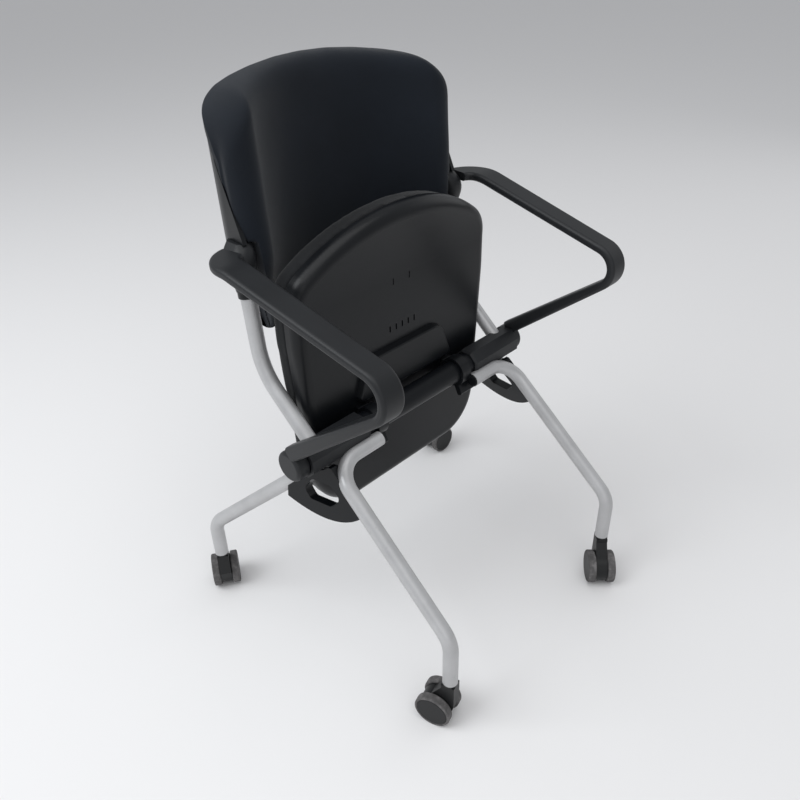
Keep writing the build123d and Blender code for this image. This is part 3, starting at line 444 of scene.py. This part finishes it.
def back_plan(run, depth):
    """The back from above: a point at a run along the outer surface, moved in by a depth.

    A flat arc turns into a tight arc at WING_START and into a straight line at WING_STOP; on an arc
    the angle is run over radius, and the point is centre + (radius - depth) * (sin, cos).
    """
    side, run = np.sign(run), np.abs(run)
    flat = np.minimum(run, WING_START) / BACK_RADIUS
    turn = FLAT_ANGLE + (np.clip(run, WING_START, WING_STOP) - WING_START) / WING_RADIUS
    ahead = np.maximum(run - WING_STOP, 0)
    on_flat = run < WING_START
    x = np.where(
        on_flat,
        (BACK_RADIUS - depth) * np.sin(flat),
        WING_CENTRE[0] + (WING_RADIUS - depth) * np.sin(turn) + ahead * math.cos(WING_ANGLE),
    )
    v = np.where(
        on_flat,
        (BACK_RADIUS - depth) * np.cos(flat) - BACK_RADIUS,
        WING_CENTRE[1] + (WING_RADIUS - depth) * np.cos(turn) - ahead * math.sin(WING_ANGLE),
    )
    return side * x, v


def leaned(x, v, w):
    """Points of the back's own frame, v to the rear and w up the back, stood up at its lean."""
    return np.stack(
        (
            BACK_FOOT[0] + x,
            BACK_FOOT[1] + v * math.cos(BACK_LEAN) + w * math.sin(BACK_LEAN),
            BACK_FOOT[2] - v * math.sin(BACK_LEAN) + w * math.cos(BACK_LEAN),
        ),
        axis=-1,
    )


def rounded_loop(corners, step, window):
    """A polygon sampled at even steps, each point then the mean of a window of its neighbours."""
    corners = np.array(corners + corners[:1])
    lengths = np.linalg.norm(np.diff(corners, axis=0), axis=1)
    along = np.concatenate(((0.0,), np.cumsum(lengths)))
    places = np.arange(0, along[-1], step)
    loop = np.stack([np.interp(places, along, corners[:, i]) for i in (0, 1)], axis=1)
    weights = np.hanning(round(window / step) + 2)[1:-1]
    weights = weights / weights.sum()
    half = len(weights) // 2
    padded = np.concatenate((loop[-half:], loop, loop[: len(weights) - 1 - half]))
    return np.stack([np.convolve(padded[:, i], weights, mode="valid") for i in (0, 1)], axis=1)


def reach(loop, centre, angles):
    """How far a loop lies from a point inside it, at each angle round it."""
    arms = loop - centre
    turned = np.arctan2(arms[:, 0], arms[:, 1]) % (2 * math.pi)
    order = np.argsort(turned)
    return np.interp(angles, turned[order], np.linalg.norm(arms, axis=1)[order], period=2 * math.pi)


def nearest(points, loop):
    """Each point's distance to a closed loop: along each side of it the foot of the perpendicular is
    at t = (point - start) . side / |side|^2, kept between 0 and 1."""
    start, side = loop[None], (np.roll(loop, -1, axis=0) - loop)[None]
    found = []
    for block in np.array_split(points.reshape(-1, 2), 120):
        away = block[:, None] - start
        t = np.clip((away * side).sum(axis=2) / (side**2).sum(axis=2), 0, 1)
        found.append(np.linalg.norm(away - side * t[..., None], axis=2).min(axis=1))
    return np.concatenate(found).reshape(points.shape[:-1])


def mirrored(half):
    """A closed outline from its +x half, given from the top down."""
    return half + [(-x, z) for x, z in reversed(half) if x > 0]


def pad_front(share, bulge):
    """The pad's front from above, out to a share of its half width.

    Up to NOSE_START it is v = -PAD_CENTRE - bulge * NOSE_REACH * (x / NOSE_START) ^ 2.4, a hollow
    that deepens towards the sides, and from there an arc of NOSE_RADIUS turns through 135 degrees
    to the pad's side.
    """
    size = np.abs(share)
    hollow_x = NOSE_START * np.minimum(size / NOSE_SHARE, 1)
    hollow_v = NOSE_REACH * (hollow_x / NOSE_START) ** NOSE_POWER
    turn = math.pi * 0.75 * np.clip((size - NOSE_SHARE) / (1 - NOSE_SHARE), 0, 1) - math.pi / 4
    nose_x = NOSE_RADIUS * (np.sin(turn) + math.sin(math.pi / 4))
    nose_v = NOSE_RADIUS * (np.cos(turn) - math.cos(math.pi / 4))
    return np.sign(share) * (hollow_x + nose_x), -PAD_CENTRE - bulge * (hollow_v + nose_v)


def back_cloth():
    """The upholstered back pad: two sheets over one outline, joined along it.

    A point is given by its angle round the pad's middle and its share of the way to the outline. The
    rear sheet lies on the shell, wraps over the shell's rim and meets its slanted side edge. The
    front sheet stands off the rear one by (front - rear) * sqrt(1 - (1 - d/r)^3), where d is the
    distance to the outline, four times as long across, and r the roll of the edge, plus a faint
    wave. Beside the arm knuckles both sheets stop at a side wall.
    """
    outline = rounded_loop(mirrored(PAD_OUTLINE), OUTLINE_STEP, OUTLINE_ROUNDING)
    angles = np.linspace(0, 2 * math.pi, PAD_AROUND, endpoint=False)
    share = 1 - (1 - np.linspace(0, 1, PAD_ROWS)[1:]) ** 2.2
    middle = np.array((0.0, PAD_HEIGHT))
    far = reach(outline, middle, angles)
    run = np.outer(np.sin(angles) * far, share)
    up = PAD_HEIGHT + np.outer(np.cos(angles) * far, share)
    spot = np.stack((run, up), axis=-1)
    rim = outline[::3]
    edge, roll_edge = nearest(spot, rim), nearest(spot * ROLL_STRETCH, rim * ROLL_STRETCH)
    edge[:, -1] = roll_edge[:, -1] = 0.0
    outer_x, outer_v = back_plan(run, 0.0)
    outer = leaned(outer_x, outer_v, up)
    side_edge = np.interp(outer[..., 2], SHELL_EDGE_Z, SHELL_EDGE_Y)
    top = ease((up - 0.285) / 0.02)
    over_top = (1 - ease((edge - 0.009) / 0.002)) * top
    before_edge = ease((side_edge + 0.004 - outer[..., 1]) / 0.003)
    depth = SHELL_INNER + (LAP - SHELL_INNER) * before_edge
    depth = depth + (-LIP - depth) * over_top
    rear_x, rear_v = back_plan(run, depth)
    swell = np.sqrt(1 - (1 - np.minimum(roll_edge / ROLL_RUN, 1)) ** 3)
    lap = LAP - LAP_DROP * top[:, -1:]
    base_x, base_v = back_plan(run, SHELL_INNER * swell + lap * (1 - swell))
    front_x, front_v = pad_front(run / PAD_RUN, 0.3 + 0.7 * ease(up / 0.16))
    wave = 0.0004 * np.sin(run * 61 + up * 23) * np.sin(up * 47 - run * 19) * swell
    face_x = base_x + (front_x - base_x) * swell
    face_v = base_v + (front_v - base_v) * swell + wave
    front, rear = leaned(face_x, face_v, up), leaned(rear_x, rear_v, up)
    for sheet in (front, rear):
        height = sheet[..., 2]
        wall = np.interp(height, WALL_Z, WALL_X) + 0.05 * ease((height - WALL_Z[2]) / 0.004)
        sheet[..., 0] = np.clip(sheet[..., 0], -wall, wall)
    front_middle = leaned(np.zeros(1), np.array([-PAD_CENTRE]), middle[1:])
    rear_middle = leaned(np.zeros(1), np.array([-SHELL_INNER]), middle[1:])
    rings = np.concatenate((front, rear[:, -2::-1]), axis=1)
    return closed_form("back_cloth", rings, front_middle, rear_middle)


def closed_form(name, rings, first, last):
    """A closed surface from a grid of rows round a middle, with a pole before and after the rows."""
    around, steps = rings.shape[:2]
    places = np.concatenate((rings.reshape(-1, 3), first, last))
    index = np.arange(around * steps).reshape(around, steps)
    beside = np.roll(index, -1, axis=0)
    quads = np.stack((index[:, :-1], index[:, 1:], beside[:, 1:], beside[:, :-1]), axis=-1).reshape(-1, 4)
    one, two = around * steps, around * steps + 1
    fans = [(one, a, b) for a, b in zip(index[:, 0], beside[:, 0])]
    fans += [(two, b, a) for a, b in zip(index[:, -1], beside[:, -1])]
    mesh = bpy.data.meshes.new(name)
    mesh.from_pydata(places.tolist(), [], quads.tolist() + fans)
    mesh.polygons.foreach_set("use_smooth", np.ones(len(mesh.polygons), dtype=bool))
    mesh.update()
    shape = bmesh.new()
    shape.from_mesh(mesh)
    bmesh.ops.recalc_face_normals(shape, faces=shape.faces)
    shape.to_mesh(mesh)
    shape.free()
    made = bpy.data.objects.new(name, mesh)
    bpy.context.scene.collection.objects.link(made)
    return made


pad = back_cloth()
pad.data.materials.append(FINISHES["back_cloth"])
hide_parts("back_pad")
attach(pad, "frame")


# ------------------------------------------------------------------ stage, lamps and camera
def plane_object(name, corners, colour):
    """A flat sheet of the stage, in one plain matt colour."""
    mesh = bpy.data.meshes.new(name)
    mesh.from_pydata(corners, [], [tuple(range(len(corners)))])
    sheet = bpy.data.objects.new(name, mesh)
    bpy.context.scene.collection.objects.link(sheet)
    paint = Paint(name)
    paint.set(Base_Color=colour, Roughness=0.9)
    mesh.materials.append(paint.material)


FLOOR_HALF = 30.0
plane_object(
    "floor",
    [(x * FLOOR_HALF, y * FLOOR_HALF, 0) for x, y in ((-1, -1), (1, -1), (1, 1), (-1, 1))],
    grey(0.80, 0.01),
)


def lamp(name, place, aim, size, watts, colour=(1, 1, 1)):
    """A soft square lamp that shines from a place towards an aim."""
    light = bpy.data.lights.new(name, "AREA")
    light.shape, light.size, light.energy, light.color = "SQUARE", size, watts, colour
    obj = bpy.data.objects.new(name, light)
    obj.location = place
    obj.rotation_mode = "QUATERNION"
    obj.rotation_quaternion = (Vector(aim) - Vector(place)).to_track_quat("-Z", "Y")
    bpy.context.scene.collection.objects.link(obj)


CHAIR_MIDDLE = (0.0, 0.0, 0.45)
lamp("window", (-2.6, 1.2, 2.9), CHAIR_MIDDLE, 2.4, 74, (0.95, 0.98, 1.0))
lamp("ceiling", (-0.7, -0.6, 3.4), CHAIR_MIDDLE, 3.0, 40)
lamp("front", (-2.2, -3.2, 1.6), CHAIR_MIDDLE, 2.6, 13)
lamp("side", (3.0, -0.6, 1.6), CHAIR_MIDDLE, 2.0, 5)

world = bpy.data.worlds.new("studio")
bpy.context.scene.world = world
world.use_nodes = True
world.node_tree.nodes["Background"].inputs["Color"].default_value = (0.92, 0.94, 0.97, 1)
world.node_tree.nodes["Background"].inputs["Strength"].default_value = 0.52

CAMERA_PLACE = (-0.7830, -0.7109, 1.0848)
CAMERA_HEADING, CAMERA_DROP, CAMERA_ROLL = 45.52, 33.30, -1.58
CAMERA_LENS = 34.24
heading, drop, roll = (math.radians(v) for v in (CAMERA_HEADING, CAMERA_DROP, CAMERA_ROLL))
look = Vector((math.sin(heading) * math.cos(drop), math.cos(heading) * math.cos(drop), -math.sin(drop)))
level_right = look.cross(Vector((0, 0, 1))).normalized()
level_up = level_right.cross(look)
right = level_right * math.cos(roll) + level_up * math.sin(roll)
up = level_up * math.cos(roll) - level_right * math.sin(roll)
camera_data = bpy.data.cameras.new("camera")
camera_data.lens = CAMERA_LENS
camera_data.sensor_width = 36.0
camera = bpy.data.objects.new("camera", camera_data)
bpy.context.scene.collection.objects.link(camera)
camera.matrix_world = Matrix.Translation(CAMERA_PLACE) @ Matrix((right, up, -look)).transposed().to_4x4()
bpy.context.scene.camera = camera
bpy.context.scene.view_settings.view_transform = "Standard"
